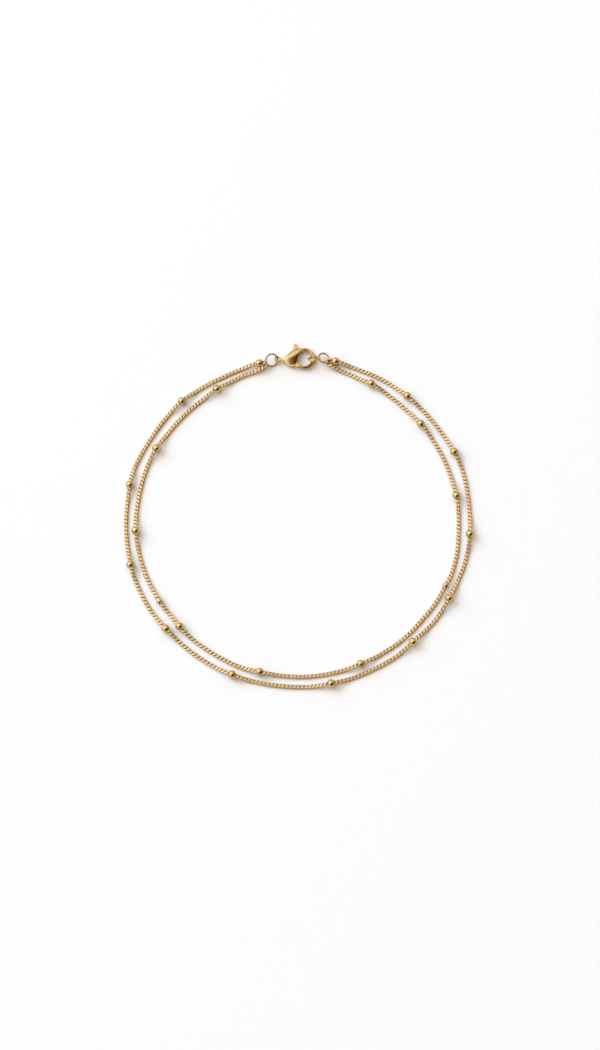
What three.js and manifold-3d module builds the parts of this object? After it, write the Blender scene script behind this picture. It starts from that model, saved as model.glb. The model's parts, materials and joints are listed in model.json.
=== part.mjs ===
// A double-strand beaded chain necklace, lying flat as a closed loop with its clasp at the back.
// Two fine curb chains of slightly different length share one lobster clasp. Smooth round beads
// are threaded along both. Millimetres, +Z up, the wearer's nape (the clasp) towards +Y. The
// origin is under the middle of the whole outline, on the surface that the necklace lies on.
import * as THREE from 'three';
import { mergeVertices } from 'three/addons/utils/BufferGeometryUtils.js';
import Module from 'manifold-3d';

const wasm = await Module();
wasm.setup();

// ---- driving dimensions, mm and degrees ----
const CHAIN_RADIUS = 0.7; // mean of the curb chain's half width and half thickness
const CHAIN_SIDES = 8;
const CHAIN_STEPS = 80;
const PLATE_GAP = 0.1; // running clearance beside the clasp's lever

// Beads: smooth hollow balls with a bore that the chain runs through.
const BEAD = { radius: 1.5, bore: 1.0, lift: 8 };
const SMALL_BEAD = { radius: 1.15, bore: 0.9, lift: 8 };
const BEAD_SIDES = 12;
const BEAD_RIBS = 7;

// Round wire jump rings: middle of the ring, mean radius, lean about X, roll about Y, turn about Z.
const RING_WIRE = 0.25;
const RING_SEGMENTS = 28;
const TAIL_RING = { at: [-9.9, 57.85, 1.75], radius: 2.35, lean: 35, roll: 18, turn: 8 };
const HOOK_RING = { at: [5.65, 58.4, 2], radius: 2.15, lean: -55, roll: -5, turn: 5 };
const END_RING = { at: [9.05, 58.8, 1.6], radius: 1.9, lean: -5, roll: 10, turn: 0 };

// End links: the last oval link of each strand, hung on a jump ring.
const LINK = { halfLength: 0.8, halfWidth: 0.62, wire: 0.21 };
const LINK_SLACK = 0.06;

// Lobster clasp, drawn about the middle of its hook. The lever turns about PIVOT.
const CLASP_AT = [2.1, 58.75, 1.2];
const CLASP_HALF_THICKNESS = 1.2;
const HEAD_EASE = 0.35; // rounding of the head's two rims
const CUT_DEPTH = 3; // half the height of any block that cuts right through the clasp
const HOOK = { radius: 3.3, halfWidth: 0.68, halfThickness: 0.6, rootAngle: 128 };
const OPENING_RADIUS = 2.6;
const EYE = { at: [-9.8, -0.45], radius: 1.08, halfWidth: 0.23, halfThickness: 0.24 };
const PIVOT = [-4.3, -0.1];
const PIN = { radius: 0.5, clearance: 0.1, halfLength: 1.0 };
const BOSS_RADIUS = 1.45;
const GATE_HALF_WIDTH = 0.5;
const LEVER_HALF_THICKNESS = 0.45;
const TIP_RADIUS = 5.08; // distance from the pivot to the joint between gate and hook tip
const TIP_GAP = 0.14;
const KNOB = { x: -3.5, halfWidth: 0.78, from: 3.75, to: 5.58, halfThickness: 0.8, ease: 0.3 };

// The route of each strand on the surface, from its left end round the front to its right end.
const OUTER_ROUTE = [
  [-14.0, 56.9], [-16.7, 56.3], [-19.6, 55.35], [-26.9, 52.1], [-34.2, 48.3], [-43.8, 41.2],
  [-50.2, 33.6], [-57.1, 22.3], [-59.8, 16.1], [-61.6, 6.1], [-62.2, -3.9], [-61.3, -13.9],
  [-58.9, -23.7], [-53.0, -35.5], [-44.6, -45.3], [-34.8, -53.3], [-23.6, -59.2], [-12.2, -62.3],
  [-0.2, -63.5], [8.8, -62.9], [17.6, -60.8], [26.1, -57.3], [34.1, -52.8], [41.2, -46.8],
  [47.9, -40.1], [51.6, -34.9], [56.2, -26.4], [59.8, -17.1], [61.5, -7.3], [60.6, 9.5],
  [58.1, 19.2], [53.3, 28.1], [47.6, 36.2], [40.8, 43.2], [30.3, 50.9], [22.4, 54.4],
  [18.8, 55.8], [15.9, 56.9], [12.7, 57.75],
];
const INNER_ROUTE = [
  [-13.0, 55.05], [-16.2, 53.7], [-18.6, 52.9], [-21.4, 51.7], [-25.1, 49.6], [-29.8, 47.0],
  [-36.2, 42.1], [-42.9, 35.9], [-50.5, 26.1], [-53.6, 20.7], [-56.7, 11.7], [-58.6, -0.8],
  [-58.2, -10.2], [-55.0, -22.3], [-49.2, -33.2], [-45.4, -37.9], [-39.6, -44.7], [-27.6, -53.1],
  [-17.0, -57.5], [-0.2, -59.8], [11.0, -58.7], [21.9, -55.4], [32.1, -49.9], [39.0, -44.5],
  [45.0, -37.9], [48.7, -33.2], [51.8, -27.9], [54.6, -22.4], [56.9, -13.3], [57.4, 2.3],
  [56.4, 8.5], [52.5, 20.4], [46.3, 31.1], [38.1, 40.1], [31.1, 46.0], [26.8, 48.8],
  [22.4, 50.9], [18.8, 52.7], [14.0, 54.75], [11.8, 55.85],
];

// Where the beads sit: the direction of each from the origin, counted on past 360.
const OUTER_BEADS = [104.1, 135, 170, 197.3, 222, 248, 280.2, 310.5, 329.5, 352.5, 382, 407.8, 436.5];
const INNER_BEADS = [122.5, 154.5, 186.3, 213, 224.5, 256.4, 291.5, 332.7, 366.5, 397, 421.4];
const SMALL_INNER_BEADS = [213, 332.7];
const INNER_END_HEIGHTS = [1.0, 1.05]; // the end links hold the inner chain's ends up a little

const ROUTE_SAMPLES = 900;

// ---- material ----
const gold = new THREE.MeshStandardMaterial({ color: '#d9b25f', roughness: 0.25, metalness: 1 });
const paleGold = new THREE.MeshStandardMaterial({ color: '#e6c987', roughness: 0.28, metalness: 1 });

// ---- solids ----
function toSolid(geometry) {
  const bare = geometry.clone();
  bare.deleteAttribute('normal');
  bare.deleteAttribute('uv');
  const merged = mergeVertices(bare, 1e-4);
  return new wasm.Manifold(new wasm.Mesh({
    numProp: 3,
    vertProperties: merged.attributes.position.array,
    triVerts: Uint32Array.from(merged.index.array),
  }));
}

function toGeometry(solid) {
  const mesh = solid.getMesh();
  const geometry = new THREE.BufferGeometry();
  geometry.setAttribute('position', new THREE.BufferAttribute(mesh.vertProperties, 3));
  geometry.setIndex(new THREE.BufferAttribute(mesh.triVerts, 1));
  geometry.computeVertexNormals();
  return geometry;
}

function named(name, geometry, material) {
  const mesh = new THREE.Mesh(geometry, material);
  mesh.name = name;
  return mesh;
}

// An octagonal section, as points [across, up] round a middle.
function octagon(middle, halfWidth, halfHeight) {
  const corner = 0.45;
  const w = halfWidth;
  const h = halfHeight;
  return [
    [w, -h * corner], [w, h * corner], [w * corner, h], [-w * corner, h],
    [-w, h * corner], [-w, -h * corner], [-w * corner, -h], [w * corner, -h],
  ].map(([across, up]) => new THREE.Vector2(middle + across, up));
}

// A flat ring about Z with an octagonal section.
function flatRing(radius, halfWidth, halfThickness, segments) {
  const profile = octagon(radius, halfWidth, halfThickness);
  profile.push(profile[0].clone());
  return new THREE.LatheGeometry(profile, segments).rotateX(Math.PI / 2);
}

// A plate about z = 0 with its outline kept and both rims eased.
function plate(shape, halfThickness, ease) {
  const geometry = new THREE.ExtrudeGeometry(shape, {
    depth: 2 * (halfThickness - ease),
    bevelEnabled: ease > 0,
    bevelThickness: ease,
    bevelSize: ease,
    bevelOffset: -ease,
    bevelSegments: 2,
    curveSegments: 8,
  });
  return geometry.translate(0, 0, ease - halfThickness);
}

function polygon(points) {
  return new THREE.Shape(points.map(([x, y]) => new THREE.Vector2(x, y)));
}

function disc([x, y], radius) {
  return new THREE.Shape().absarc(x, y, radius, 0, 2 * Math.PI, false);
}

// ---- strands ----
function directionOf(point) {
  const degrees = THREE.MathUtils.radToDeg(Math.atan2(point.y, point.x));
  return degrees < 90 ? degrees + 360 : degrees;
}

// Walks a route in equal steps and finds how far along it each bead sits.
function surveyRoute(route, beads) {
  const flat = new THREE.CatmullRomCurve3(route.map(([x, y]) => new THREE.Vector3(x, y, 0)));
  flat.arcLengthDivisions = ROUTE_SAMPLES;
  const points = flat.getSpacedPoints(ROUTE_SAMPLES);
  const length = flat.getLength();
  const lifts = beads.map((bead) => {
    const index = points.findIndex((point) => directionOf(point) >= bead.direction);
    return { ...bead, along: (index / ROUTE_SAMPLES) * length, height: bead.size.radius };
  });
  return { points, length, lifts };
}

// The chain lies on the surface and rises smoothly to the middle of each bead.
function heightAt(along, lifts) {
  return lifts.reduce((height, lift) => {
    const away = Math.abs(along - lift.along) / lift.size.lift;
    const rise = away < 1 ? Math.cos((Math.PI / 2) * away) ** 2 : 0;
    return height + (lift.height - CHAIN_RADIUS) * rise;
  }, CHAIN_RADIUS);
}

function strandPath(survey, lifts) {
  const raised = survey.points.map((point, index) => {
    const along = (index / ROUTE_SAMPLES) * survey.length;
    return new THREE.Vector3(point.x, point.y, heightAt(along, lifts));
  });
  const path = new THREE.CatmullRomCurve3(raised);
  path.arcLengthDivisions = 2 * ROUTE_SAMPLES;
  return path;
}

function chainTube(path) {
  const section = new THREE.Shape(Array.from({ length: CHAIN_SIDES }, (_, side) => {
    const turn = ((side + 0.5) / CHAIN_SIDES) * 2 * Math.PI;
    return new THREE.Vector2(Math.cos(turn), Math.sin(turn)).multiplyScalar(CHAIN_RADIUS);
  }));
  return new THREE.ExtrudeGeometry(section, { steps: CHAIN_STEPS, extrudePath: path });
}

// A ball with a bore along Y: the outer arc from mouth to mouth, closed by the bore's wall.
function boredBall({ radius, bore }) {
  const mouth = Math.asin(bore / radius);
  const profile = Array.from({ length: BEAD_RIBS + 1 }, (_, rib) => {
    const turn = mouth + (rib / BEAD_RIBS) * (Math.PI - 2 * mouth);
    return new THREE.Vector2(radius * Math.sin(turn), -radius * Math.cos(turn));
  });
  profile.push(profile[0].clone());
  return new THREE.LatheGeometry(profile, BEAD_SIDES);
}

// The bead's bore follows the chain, and one row of its corners points straight down.
function placeBead(mesh, path, share) {
  const tangent = path.getTangentAt(share);
  const side = new THREE.Vector3(0, 0, 1).cross(tangent).normalize();
  const up = tangent.clone().cross(side);
  mesh.quaternion.setFromRotationMatrix(new THREE.Matrix4().makeBasis(up, tangent, side));
  mesh.position.copy(path.getPointAt(share));
}

function makeStrand(label, route, directions, small, endHeights) {
  const beads = directions.map((direction) => ({
    direction,
    size: small.includes(direction) ? SMALL_BEAD : BEAD,
  }));
  const survey = surveyRoute(route, beads);
  const ends = endHeights.map((height, end) => (
    { along: end * survey.length, height, size: SMALL_BEAD }
  ));
  const path = strandPath(survey, [...survey.lifts, ...ends]);
  const group = new THREE.Group();
  group.add(named(`chain_${label}`, chainTube(path), gold));
  survey.lifts.forEach((bead, index) => {
    const number = String(index + 1).padStart(2, '0');
    const mesh = named(`bead_${label}_${number}`, boredBall(bead.size), gold);
    placeBead(mesh, path, bead.along / survey.length);
    mesh.position.z = bead.size.radius;
    group.add(mesh);
  });
  return group;
}

// ---- rings and end links ----
function ringMatrix(ring) {
  const turn = new THREE.Euler(
    THREE.MathUtils.degToRad(ring.lean),
    THREE.MathUtils.degToRad(ring.roll),
    THREE.MathUtils.degToRad(ring.turn),
    'ZYX',
  );
  return new THREE.Matrix4().makeRotationFromEuler(turn).setPosition(...ring.at);
}

function makeRing(name, ring) {
  const mesh = named(name, new THREE.TorusGeometry(ring.radius, RING_WIRE, 8, RING_SEGMENTS), gold);
  mesh.applyMatrix4(ringMatrix(ring));
  return mesh;
}

// An oval link hung on a jump ring at an angle round it, its far end pointing at a target.
function makeEndLink(name, ring, degrees, target) {
  const angle = THREE.MathUtils.degToRad(degrees);
  const matrix = ringMatrix(ring);
  const held = new THREE.Vector3(Math.cos(angle), Math.sin(angle), 0)
    .multiplyScalar(ring.radius).applyMatrix4(matrix);
  const wireRun = new THREE.Vector3(-Math.sin(angle), Math.cos(angle), 0)
    .transformDirection(matrix);
  const length = new THREE.Vector3(...target).sub(held).normalize();
  const width = wireRun.clone().cross(length).normalize();
  const facing = length.clone().cross(width);
  const overhang = LINK.halfLength - LINK.wire - RING_WIRE - LINK_SLACK;
  const mesh = named(name, ovalLink(), gold);
  mesh.quaternion.setFromRotationMatrix(new THREE.Matrix4().makeBasis(length, width, facing));
  mesh.position.copy(held).addScaledVector(length, overhang);
  return mesh;
}

// A torus whose middle line is stretched to an ellipse while its wire stays round.
function ovalLink() {
  const geometry = new THREE.TorusGeometry(LINK.halfWidth, LINK.wire, 8, 16);
  const position = geometry.attributes.position;
  for (let index = 0; index < position.count; index += 1) {
    const x = position.getX(index);
    const y = position.getY(index);
    const stretch = (LINK.halfLength - LINK.halfWidth) * (x / Math.hypot(x, y));
    position.setX(index, x + stretch);
  }
  return geometry;
}

// ---- clasp ----
function headOutline() {
  const shape = new THREE.Shape();
  shape.moveTo(-8.65, -0.95);
  shape.lineTo(-8.15, -0.98);
  shape.bezierCurveTo(-7.7, -1.1, -7.4, -1.5, -7.0, -2.0);
  shape.bezierCurveTo(-6.5, -2.7, -5.6, -3.2, -4.6, -3.2);
  shape.bezierCurveTo(-3.5, -3.2, -2.6, -2.5, -2.35, -1.0);
  shape.lineTo(-1.4, 1.6);
  shape.lineTo(-1.2, 3.72);
  shape.bezierCurveTo(-2.3, 3.55, -3.5, 3.5, -4.6, 3.05);
  shape.bezierCurveTo(-5.7, 2.45, -6.7, 0.8, -7.3, 0.2);
  shape.bezierCurveTo(-7.6, 0, -7.8, 0, -8.15, 0.02);
  shape.lineTo(-8.65, 0.05);
  return shape;
}

// The head's side view: thick over the pivot, thin at the shank and where the hook begins.
function headProfile() {
  const thick = CLASP_HALF_THICKNESS;
  const upper = [[-9.0, 0.45], [-7.7, 0.62], [-6.3, thick], [-3.2, thick], [-1.0, 0.7]];
  const lower = upper.map(([x, z]) => [x, -z]).reverse();
  const geometry = new THREE.ExtrudeGeometry(polygon([...upper, ...lower]), {
    depth: 10,
    bevelEnabled: false,
  });
  return geometry.translate(0, 0, -5).rotateX(Math.PI / 2);
}

// The room that the lever needs between the two cheeks, open at the nub and at the gate.
function leverSlot() {
  const outline = polygon([
    [-6.2, -2.2], [-4.1, -2.45], [-3.7, -4], [-1.5, -4], [-1.5, 1.2], [-2.4, 1.2], [-2.4, 5], [-6.2, 5],
  ]);
  return plate(outline, LEVER_HALF_THICKNESS + PLATE_GAP, 0);
}

// The lower half of a disc about the pivot: the gate ends inside it and the hook tip outside.
function lowerDisc(radius) {
  const shape = new THREE.Shape();
  shape.absarc(PIVOT[0], PIVOT[1], radius, -Math.PI, 0, false);
  return toSolid(new THREE.ExtrudeGeometry(shape, {
    depth: 2 * CUT_DEPTH,
    bevelEnabled: false,
    curveSegments: 32,
  }).translate(0, 0, -CUT_DEPTH));
}

function makeHook() {
  const band = toSolid(flatRing(HOOK.radius, HOOK.halfWidth, HOOK.halfThickness, 40));
  const root = THREE.MathUtils.degToRad(HOOK.rootAngle);
  const reach = 12;
  const behindRoot = toSolid(plate(polygon([
    [0, 0], [reach * Math.cos(root), reach * Math.sin(root)], [-reach, 0], [-reach, -1],
  ]), CUT_DEPTH, 0));
  return band.subtract(behindRoot).subtract(lowerDisc(TIP_RADIUS + TIP_GAP / 2));
}

function makeClaspBody() {
  const opening = toSolid(plate(disc([0, 0], OPENING_RADIUS), CUT_DEPTH, 0));
  const pin = toSolid(plate(disc(PIVOT, PIN.radius), PIN.halfLength, 0));
  const eye = toSolid(flatRing(EYE.radius, EYE.halfWidth, EYE.halfThickness, 20)
    .translate(EYE.at[0], EYE.at[1], 0));
  const head = toSolid(plate(headOutline(), CLASP_HALF_THICKNESS, HEAD_EASE))
    .intersect(toSolid(headProfile()))
    .subtract(opening)
    .subtract(toSolid(leverSlot()));
  const body = head.add(makeHook()).add(eye).add(pin);
  return named('clasp_body', toGeometry(body), paleGold);
}

// One rocking lever: boss on the pin, neck and thumb knob above, curved gate below.
function makeClaspLever() {
  const thick = LEVER_HALF_THICKNESS;
  const boss = toSolid(plate(disc(PIVOT, BOSS_RADIUS), thick, 0));
  const neck = toSolid(plate(polygon([
    [-5.1, 0], [-3.0, 0], [-2.8, 3.0], [-2.8, 4.6], [-4.15, 4.6],
  ]), thick, 0));
  const knob = toSolid(plate(knobOutline(), KNOB.halfThickness, KNOB.ease));
  const web = toSolid(plate(polygon([
    [-4.3, 1.1], [-2.9, 0.1], [-2.6, -0.9], [-2.3, -1.7], [-3.0, -2.4], [-4.7, -1.3],
  ]), thick, 0));
  const gateZone = toSolid(plate(polygon([
    [-0.4, 0], [-3.6, -0.5], [-6, -6], [4, -6], [4, -2],
  ]), CUT_DEPTH, 0));
  const gate = toSolid(flatRing(HOOK.radius, GATE_HALF_WIDTH, thick, 40))
    .intersect(gateZone)
    .intersect(lowerDisc(TIP_RADIUS - TIP_GAP / 2));
  const bore = toSolid(plate(disc(PIVOT, PIN.radius + PIN.clearance), CUT_DEPTH, 0));
  const lever = boss.add(neck).add(knob).add(web).add(gate).subtract(bore);
  return named('clasp_lever', toGeometry(lever), paleGold);
}

// The thumb knob that stands out past the head: straight sides and a round end.
function knobOutline() {
  const { x, halfWidth, from, to } = KNOB;
  const shape = new THREE.Shape();
  shape.moveTo(x - halfWidth, from);
  shape.lineTo(x + halfWidth, from);
  shape.lineTo(x + halfWidth, to - halfWidth);
  shape.absarc(x, to - halfWidth, halfWidth, 0, Math.PI, false);
  return shape;
}

// ---- assembly ----
const necklace = new THREE.Group();
necklace.add(makeStrand('outer', OUTER_ROUTE, OUTER_BEADS, [], []));
necklace.add(makeStrand('inner', INNER_ROUTE, INNER_BEADS, SMALL_INNER_BEADS, INNER_END_HEIGHTS));

const clasp = new THREE.Group();
clasp.add(makeClaspBody(), makeClaspLever());
clasp.position.set(...CLASP_AT);
necklace.add(clasp);

necklace.add(makeRing('ring_tail', TAIL_RING));
necklace.add(makeRing('ring_hook', HOOK_RING));
necklace.add(makeRing('ring_end', END_RING));
necklace.add(makeEndLink('end_link_outer_left', TAIL_RING, 196, [-14.2, 56.6, 1.5]));
necklace.add(makeEndLink('end_link_inner_left', TAIL_RING, 216, [-12.8, 55.2, 1.2]));
necklace.add(makeEndLink('end_link_outer_right', END_RING, -25, [13.9, 57.5, 1.5]));
necklace.add(makeEndLink('end_link_inner_right', END_RING, -52, [11.9, 56.0, 1.05]));

export default necklace;
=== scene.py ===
# %% [markdown]
# # A two-strand beaded chain necklace
# Two fine curb chains share one lobster clasp, and smooth round beads are threaded along both.
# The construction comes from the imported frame: where each bead, ring and clasp part sits, and
# how the lever turns. This script gives every piece its real surface: interlocked links instead
# of a tube, smooth balls instead of faceted ones, a cast clasp with soft contours, plated gold.

# %% Load the frame
import json
from math import atan2, cos, pi, radians, sin, sqrt

import bmesh
import bpy
import numpy as np
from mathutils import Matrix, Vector


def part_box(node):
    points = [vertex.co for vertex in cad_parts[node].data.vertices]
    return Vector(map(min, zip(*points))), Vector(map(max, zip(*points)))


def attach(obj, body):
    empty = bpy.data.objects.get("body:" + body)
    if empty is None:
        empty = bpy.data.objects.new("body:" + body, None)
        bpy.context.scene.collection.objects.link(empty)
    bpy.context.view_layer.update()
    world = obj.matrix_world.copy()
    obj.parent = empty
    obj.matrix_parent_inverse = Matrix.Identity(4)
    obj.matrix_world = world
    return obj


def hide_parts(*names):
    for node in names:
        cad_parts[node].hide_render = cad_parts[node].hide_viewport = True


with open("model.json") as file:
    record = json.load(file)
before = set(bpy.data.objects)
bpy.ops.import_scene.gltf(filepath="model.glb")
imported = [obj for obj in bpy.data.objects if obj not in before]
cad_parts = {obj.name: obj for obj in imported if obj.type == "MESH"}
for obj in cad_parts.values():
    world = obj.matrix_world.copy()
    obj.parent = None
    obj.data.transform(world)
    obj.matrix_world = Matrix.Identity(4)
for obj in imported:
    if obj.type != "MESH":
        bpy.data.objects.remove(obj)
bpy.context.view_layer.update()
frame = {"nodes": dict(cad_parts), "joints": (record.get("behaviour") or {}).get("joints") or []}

MM = 0.001  # a small size is written in millimetres and multiplied by this
UP = Vector((0, 0, 1))

# %% [markdown]
# The camera looks down steeply at the necklace as it lies on a table, a little from the front.
# It is set by what it aims at, how steeply it looks down and how far away it is, so that
# changing one of the three doesn't disturb the others.

# %% Camera
ELEVATION = radians(75)
DISTANCE = 0.9  # metres
AIM = Vector((0.0005, -0.0041, 0))
SHEET = 36  # the film's long side, in mm, as Blender counts it
FRAME_HEIGHT = 0.378  # how much of the table the long side takes in at the aim, in metres

camera_data = bpy.data.cameras.new("copy_stand")
camera_data.lens = SHEET * DISTANCE / FRAME_HEIGHT
camera_data.sensor_width = SHEET
camera_data.clip_start = 0.01
camera = bpy.data.objects.new("copy_stand", camera_data)
camera.location = AIM + DISTANCE * Vector((0, -cos(ELEVATION), sin(ELEVATION)))
camera.rotation_euler = (pi / 2 - ELEVATION, 0, 0)
bpy.context.scene.collection.objects.link(camera)
bpy.context.scene.camera = camera
print("lens", round(camera_data.lens, 1), "mm")

# %% [markdown]
# A few small helpers serve the whole lesson. One turns a colour as a person writes it into the
# linear light that Blender mixes. One adds a node, sets it up and wires its inputs in a single
# call. One puts finished vertices and faces into a new object, one turns modifiers into plain
# mesh, and one closes a mesh's seams and turns its faces outwards.

# %% Helpers
SAME_POINT = 1e-7  # metres


def linear(colour):
    """An sRGB colour such as "#d9b25f" as a linear RGBA."""
    parts = [int(colour[k:k + 2], 16) / 255 for k in (1, 3, 5)]
    return [p / 12.92 if p <= 0.04045 else ((p + 0.055) / 1.055) ** 2.4 for p in parts] + [1]


def add(tree, kind, inputs=None, **settings):
    """Adds a node. An input takes a plain value, another node (its first output) or a socket."""
    node = tree.nodes.new(kind)
    for name, value in settings.items():
        setattr(node, name, value)
    for name, value in (inputs or {}).items():
        if isinstance(value, bpy.types.Node):
            value = value.outputs[0]
        if isinstance(value, bpy.types.NodeSocket):
            tree.links.new(value, node.inputs[name])
        else:
            node.inputs[name].default_value = value
    return node


def make_object(name, vertices, faces, smooth=True):
    """A new object in the scene from plain lists of vertices and faces."""
    mesh = bpy.data.meshes.new(name)
    mesh.from_pydata([tuple(v) for v in vertices], [], faces)
    mesh.polygons.foreach_set("use_smooth", [smooth] * len(mesh.polygons))
    mesh.update()
    made = bpy.data.objects.new(name, mesh)
    bpy.context.scene.collection.objects.link(made)
    return made


def bake_modifiers(made):
    """Replaces an object's mesh by what its modifiers make of it, and removes them."""
    evaluated = made.evaluated_get(bpy.context.evaluated_depsgraph_get())
    mesh = bpy.data.meshes.new_from_object(evaluated)
    made.modifiers.clear()
    made.data = mesh
    mesh.name = made.name


def closed_and_outward(made):
    """Merges doubled points and turns every face outwards."""
    work = bmesh.new()
    work.from_mesh(made.data)
    bmesh.ops.remove_doubles(work, verts=work.verts, dist=SAME_POINT)
    bmesh.ops.recalc_face_normals(work, faces=work.faces)
    work.to_mesh(made.data)
    work.free()
    return made


print("mid grey is", [round(part, 3) for part in linear("#808080")], "in linear light")

# %% [markdown]
# Everything here is the same stuff: brass with a thin coat of gold. What differs is how each
# surface was made. The chain's links were cut flat on the faces, so they glitter; the beads
# were tumbled until they shone; the clasp was cast, which leaves a faint orange peel; the rings
# are drawn wire, left a little rougher. The rings' colour is darker and browner, painted shade,
# and the ring in the hook has a paler copy of it, a painted highlight. The chain's colour carries
# painted shade between its links. Otherwise a metal's look is all in what it reflects, so the
# finish is in roughness and in bump patterns a few thousandths of a millimetre deep. The real
# marks are a few hundredths of a millimetre wide, too fine to show, so the grain is drawn several
# times coarser than they are.

# %% Plated gold
MOST_DEEP = 0.55  # how far a patch turns to its deeper colour
SMOOTHEST, ROUGHEST = 0.75, 1.35  # what the grain multiplies the roughness by


def plated_gold(name, colour, deep, roughness, patch_mm, grain_mm, depth_mm, painted_shade=None):
    """
    Plated metal. Its colour drifts in patches to a deeper one, where the plate is thin, and a
    fine grain breaks up the reflections. Painted shade darkens what lies between the links.
    """
    material = bpy.data.materials.new(name)
    material.use_nodes = True
    tree = material.node_tree
    tree.nodes.clear()
    place = add(tree, "ShaderNodeTexCoord").outputs["Object"]
    patches = add(tree, "ShaderNodeTexNoise",
                  {"Vector": place, "Scale": 1 / (patch_mm * MM), "Detail": 3.0, "Roughness": 0.6})
    thin = add(tree, "ShaderNodeMapRange",
               {"Value": patches, "From Min": 0.35, "From Max": 0.75,
                "To Min": 0.0, "To Max": MOST_DEEP})
    tint = add(tree, "ShaderNodeMix", {"Factor": thin, 6: linear(colour), 7: linear(deep)},
               data_type="RGBA")
    base = tint.outputs[2]
    # Painted shade: the colour turns brown down between the links, where shade falls
    if painted_shade:
        painted_shade_depth = add(tree, "ShaderNodeAttribute", attribute_name="painted_shade_depth")
        painted_shade_mask = add(tree, "ShaderNodeMapRange",
                    {"Value": painted_shade_depth.outputs["Fac"], "From Min": 0.02, "From Max": 0.4,
                     "To Min": 0.0, "To Max": 1.0})
        darkened = add(tree, "ShaderNodeMix", {"Factor": painted_shade_mask, 6: base, 7: linear(painted_shade)},
                       data_type="RGBA")
        base = darkened.outputs[2]
    grain = add(tree, "ShaderNodeTexNoise",
                {"Vector": place, "Scale": 1 / (grain_mm * MM), "Detail": 4.0, "Roughness": 0.7})
    polish = add(tree, "ShaderNodeMapRange",
                 {"Value": grain, "From Min": 0.3, "From Max": 0.7,
                  "To Min": roughness * SMOOTHEST, "To Max": roughness * ROUGHEST})
    bump = add(tree, "ShaderNodeBump",
               {"Height": grain, "Strength": 1.0, "Distance": depth_mm * MM})
    metal = add(tree, "ShaderNodeBsdfPrincipled",
                {"Base Color": base, "Metallic": 1.0, "Roughness": polish.outputs[0],
                 "Normal": bump})
    add(tree, "ShaderNodeOutputMaterial", {"Surface": metal})
    return material


print("roughness varies from", SMOOTHEST, "to", ROUGHEST, "times its value")

# %% [markdown]
# All five finishes are that one material with other numbers: how pale the plate is, how rough,
# how wide its patches are and how coarse its grain.

# %% Five finishes
finishes = {
    # Paler and pinker than solid gold, glittering, with painted shade in brown between the links
    "chain_gold": plated_gold("gold_plated_brass_cut_curb_links", "#e8d2a6", "#dcb272",
                              roughness=0.24, patch_mm=6, grain_mm=0.3, depth_mm=0.004,
                              painted_shade="#7c400a"),
    # Smooth and even, so that each ball mirrors the room, slightly blurred
    "bead_gold": plated_gold("gold_plated_brass_tumbled_beads", "#d8bf8c", "#c79c5c",
                             roughness=0.17, patch_mm=4, grain_mm=0.5, depth_mm=0.002),
    # The brightest polish, over a faintly uneven casting
    "clasp_gold": plated_gold("gold_plated_cast_clasp", "#d5bd88", "#c49f60",
                              roughness=0.15, patch_mm=3, grain_mm=0.7, depth_mm=0.004),
    # Duller and a little browner: wire is plated as it is drawn and not polished again
    # Rougher, and coloured darker and browner: painted shade on the thin wire rings
    "ring_gold": plated_gold("gold_plated_drawn_wire_painted_shade", "#c8ab70", "#ad8c50",
                             roughness=0.22, patch_mm=3, grain_mm=0.2, depth_mm=0.003),
    # The ring in the hook: smoother, and a paler copy of the wire colour, a painted highlight
    "painted_highlight_ring": plated_gold("gold_plated_polished_wire_painted_highlight", "#ecca90", "#d8aa6a",
                               roughness=0.16, patch_mm=3, grain_mm=0.3, depth_mm=0.002),
}
print("finishes", sorted(finishes))


def finish_piece(piece, slot, body, *nodes, finish=None):
    """Gives a piece its material and its body, and hides the CAD nodes that it stands for."""
    piece.data.materials.clear()
    piece.data.materials.append(finishes[finish or slot])
    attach(piece, body)
    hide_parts(*nodes)


# %% [markdown]
# A jump ring is a short piece of round wire bent until its ends meet, and an end link is the
# same in an oval with its joint soldered. A tube swept round a closed path makes both. Where
# each one hangs is read off its CAD solid: the middle of its points, and their principal axes,
# which give an oval's length and width and any loop's flat side. The wire is a little thicker
# than the solid's, which had to stay clear of its neighbours, and it grows inwards.

# %% Loops of wire
def loop_pose(node):
    """The middle and the three principal axes (longest first) of a CAD loop, and its reach."""
    points = np.array([vertex.co for vertex in frame["nodes"][node].data.vertices])
    points = np.unique(points.round(7), axis=0)  # the solid's loose triangles repeat each corner
    middle = points.mean(0)
    spread = np.linalg.svd(points - middle, full_matrices=False)[2]
    reach = np.abs((points - middle) @ spread.T).max(0)
    return Vector(middle), [Vector(axis) for axis in spread], reach


def sweep_loop(name, middle, axes, half_length, half_width, wire, split=0.0, around=64, sides=16):
    """Round wire on an ellipse. With a split, in radians, its two cut ends face each other."""
    along, across, _ = axes
    flat = along.cross(across).normalized()
    stations = around if split == 0 else around + 1
    vertices, faces = [], []
    for k in range(stations):
        turn = split / 2 + (2 * pi - split) * k / around
        centre = middle + along * half_length * cos(turn) + across * half_width * sin(turn)
        outward = (along * half_width * cos(turn) + across * half_length * sin(turn)).normalized()
        for j in range(sides):
            lean = 2 * pi * j / sides
            vertices.append(centre + wire * (outward * cos(lean) + flat * sin(lean)))
    for k in range(stations if split == 0 else stations - 1):
        for j in range(sides):
            a, b = k * sides + j, k * sides + (j + 1) % sides
            step = ((k + 1) % stations) * sides
            faces.append((a, step + j, step + (j + 1) % sides, b))
    if split:
        faces.append(tuple(range(sides)))
        faces.append(tuple(range((stations - 1) * sides, stations * sides))[::-1])
    return closed_and_outward(make_object(name, vertices, faces))


print("the tail ring reaches", [round(r / MM, 2) for r in loop_pose("ring_tail")[2]],
      "mm along its axes")

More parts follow.
